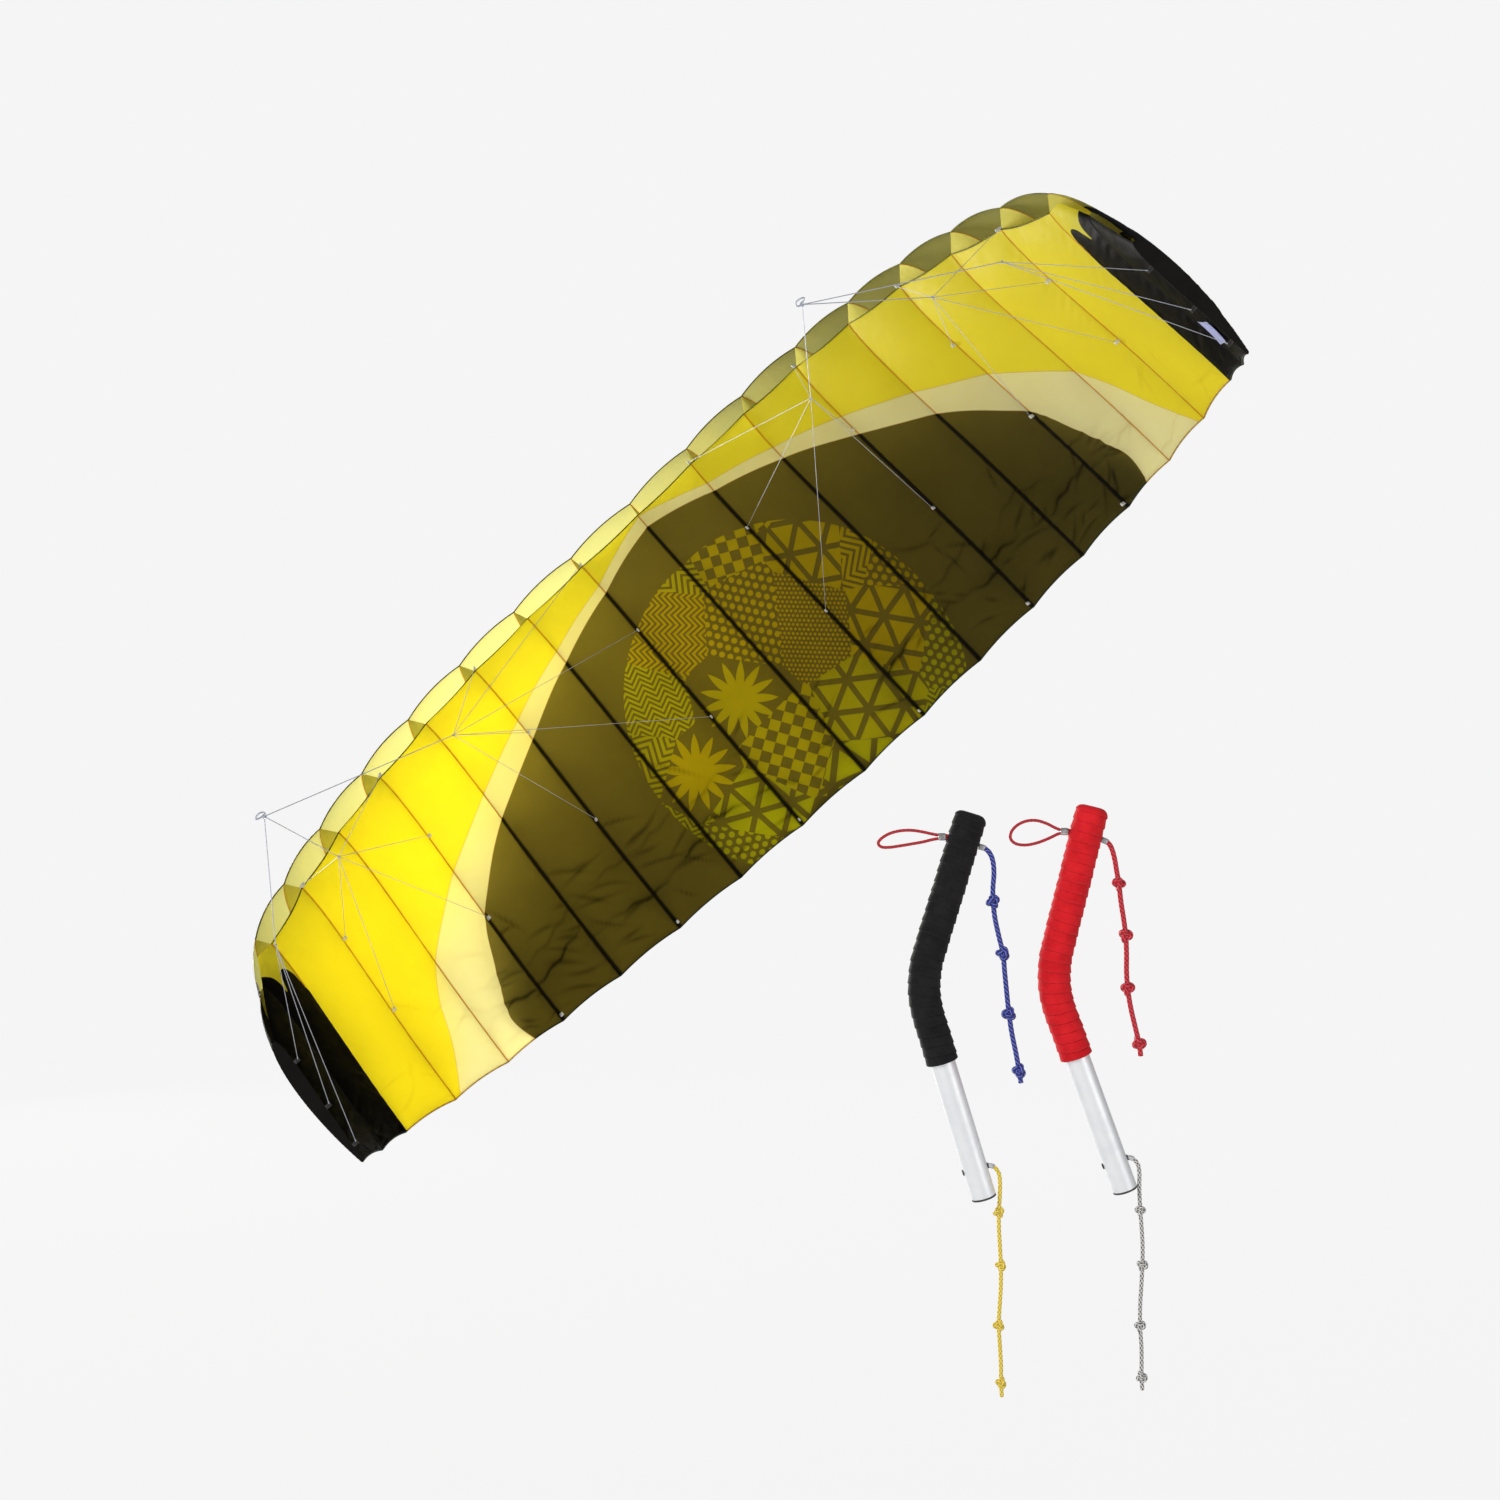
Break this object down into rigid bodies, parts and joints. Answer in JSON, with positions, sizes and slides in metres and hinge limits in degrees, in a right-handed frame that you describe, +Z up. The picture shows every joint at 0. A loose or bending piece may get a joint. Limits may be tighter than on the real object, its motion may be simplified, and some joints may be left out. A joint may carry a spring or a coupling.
{
  "type": "kitesurf kite",
  "caption": "Open-cell ram-air foil power kite in flight with its bridle, trailing brake panels and a pair of bent tube control handles with knotted leaders.",
  "frame": {"origin": "midway between the left and right bridle tow points", "axes": "+Z up in the air, -Y from the wing towards the pilot, +X to the pilot's right; the wing is banked, its leading edge up and to the left"},
  "size_m": [2.3397, 4.1875, 2.3112],
  "materials": {
    "yellow_cloth": "coated ripstop cloth",
    "dark_cloth": "coated ripstop cloth",
    "rib_cloth": "coated ripstop cloth",
    "black_cloth": "coated ripstop cloth",
    "white_webbing": "woven tape",
    "bridle_line": "braided line",
    "label_cloth": "satin label",
    "aluminium_tube": "satin anodised",
    "left_foam": "wrapped foam",
    "right_foam": "wrapped foam",
    "dark_plastic": "matte",
    "steel_crimp": "satin",
    "red_cord": "braided cord",
    "blue_cord": "braided cord",
    "yellow_cord": "braided cord",
    "grey_cord": "braided cord"
  },
  "bodies": {
    "wing": {"upper_skin_left": "yellow_cloth", "upper_skin_right": "yellow_cloth", "lower_skin_left": "dark_cloth", "lower_skin_right": "dark_cloth", "upper_tip_left": "yellow_cloth", "upper_tip_right": "yellow_cloth", "lower_tip_left": "yellow_cloth", "lower_tip_right": "yellow_cloth", "centre_rib": "rib_cloth", "ribs_left": "rib_cloth", "ribs_right": "rib_cloth", "tip_panel_left": "black_cloth", "tip_panel_right": "black_cloth", "bridle_tabs_left": "white_webbing", "bridle_tabs_right": "white_webbing", "bridle_fans_left": "bridle_line", "bridle_fans_right": "bridle_line", "bridle_mains_left": "bridle_line", "bridle_mains_right": "bridle_line", "tow_loop_left": "bridle_line", "tow_loop_right": "bridle_line", "care_label": "label_cloth"},
    "left_strap_set": {"left_strap": "red_cord", "left_strap_crimp": "steel_crimp"},
    "left_handle": {"left_tube": "aluminium_tube", "left_grip": "left_foam", "left_end_plug": "dark_plastic", "left_bushes": "dark_plastic", "left_power_leader": "blue_cord", "left_power_knots": "blue_cord", "left_brake_leader": "yellow_cord", "left_brake_knots": "yellow_cord"},
    "brake_left_inner": {"brake_panel_left_inner": "dark_cloth", "brake_tab_left_inner": "white_webbing"},
    "brake_left_middle": {"brake_panel_left_middle": "dark_cloth", "brake_tab_left_middle": "white_webbing"},
    "brake_left_outer": {"brake_panel_left_outer": "dark_cloth", "brake_tab_left_outer": "white_webbing"},
    "right_strap_set": {"right_strap": "red_cord", "right_strap_crimp": "steel_crimp"},
    "right_handle": {"right_tube": "aluminium_tube", "right_grip": "right_foam", "right_end_plug": "dark_plastic", "right_bushes": "dark_plastic", "right_power_leader": "red_cord", "right_power_knots": "red_cord", "right_brake_leader": "grey_cord", "right_brake_knots": "grey_cord"},
    "brake_right_inner": {"brake_panel_right_inner": "dark_cloth", "brake_tab_right_inner": "white_webbing"},
    "brake_right_middle": {"brake_panel_right_middle": "dark_cloth", "brake_tab_right_middle": "white_webbing"},
    "brake_right_outer": {"brake_panel_right_outer": "dark_cloth", "brake_tab_right_outer": "white_webbing"}
  },
  "joints": [
    {"name": "left_pull", "type": "slide", "parent": "wing", "child": "left_strap_set", "axis": [0, -1, 0], "range_m": [-0.15, 0.15]},
    {"name": "left_brake_tilt", "type": "hinge", "parent": "left_strap_set", "child": "left_handle", "pos_m": [0.58808, -1.36, -0.40673], "axis": [-0.9563, 0, 0.2924], "range_deg": [-10, 30]},
    {"name": "brake_left_inner_bend", "type": "hinge", "parent": "wing", "child": "brake_left_inner", "pos_m": [0.34563, 2.51863, -0.30644], "axis": [-0.7681, -0.1448, -0.6238], "range_deg": [-8, 24]},
    {"name": "brake_left_middle_bend", "type": "hinge", "parent": "wing", "child": "brake_left_middle", "pos_m": [-0.00499, 2.34648, -0.615], "axis": [-0.7264, -0.4901, -0.4819], "range_deg": [-8, 24]},
    {"name": "brake_left_outer_bend", "type": "hinge", "parent": "wing", "child": "brake_left_outer", "pos_m": [-0.29179, 2.02056, -0.87094], "axis": [-0.6073, -0.7341, -0.3038], "range_deg": [-8, 24]},
    {"name": "right_pull", "type": "slide", "parent": "wing", "child": "right_strap_set", "axis": [0, -1, 0], "range_m": [-0.15, 0.15]},
    {"name": "right_brake_tilt", "type": "hinge", "parent": "right_strap_set", "child": "right_handle", "pos_m": [0.71028, -1.36, -0.40146], "axis": [-0.9703, 0, 0.2419], "range_deg": [-10, 30]},
    {"name": "brake_right_inner_bend", "type": "hinge", "parent": "wing", "child": "brake_right_inner", "pos_m": [0.7039, 2.46188, 0.02247], "axis": [-0.6429, 0.3682, -0.6716], "range_deg": [-8, 24]},
    {"name": "brake_right_middle_bend", "type": "hinge", "parent": "wing", "child": "brake_right_middle", "pos_m": [1.00281, 2.18686, 0.31021], "axis": [-0.442, 0.6751, -0.5907], "range_deg": [-8, 24]},
    {"name": "brake_right_outer_bend", "type": "hinge", "parent": "wing", "child": "brake_right_outer", "pos_m": [1.21941, 1.78121, 0.51641], "axis": [-0.2171, 0.8647, -0.453], "range_deg": [-8, 24]}
  ],
  "couplings": [
    {"joint": "brake_left_inner_bend", "follows": "left_brake_tilt", "ratio": 0.8},
    {"joint": "brake_left_middle_bend", "follows": "left_brake_tilt", "ratio": 0.8},
    {"joint": "brake_left_outer_bend", "follows": "left_brake_tilt", "ratio": 0.8},
    {"joint": "brake_right_inner_bend", "follows": "right_brake_tilt", "ratio": 0.8},
    {"joint": "brake_right_middle_bend", "follows": "right_brake_tilt", "ratio": 0.8},
    {"joint": "brake_right_outer_bend", "follows": "right_brake_tilt", "ratio": 0.8}
  ]
}
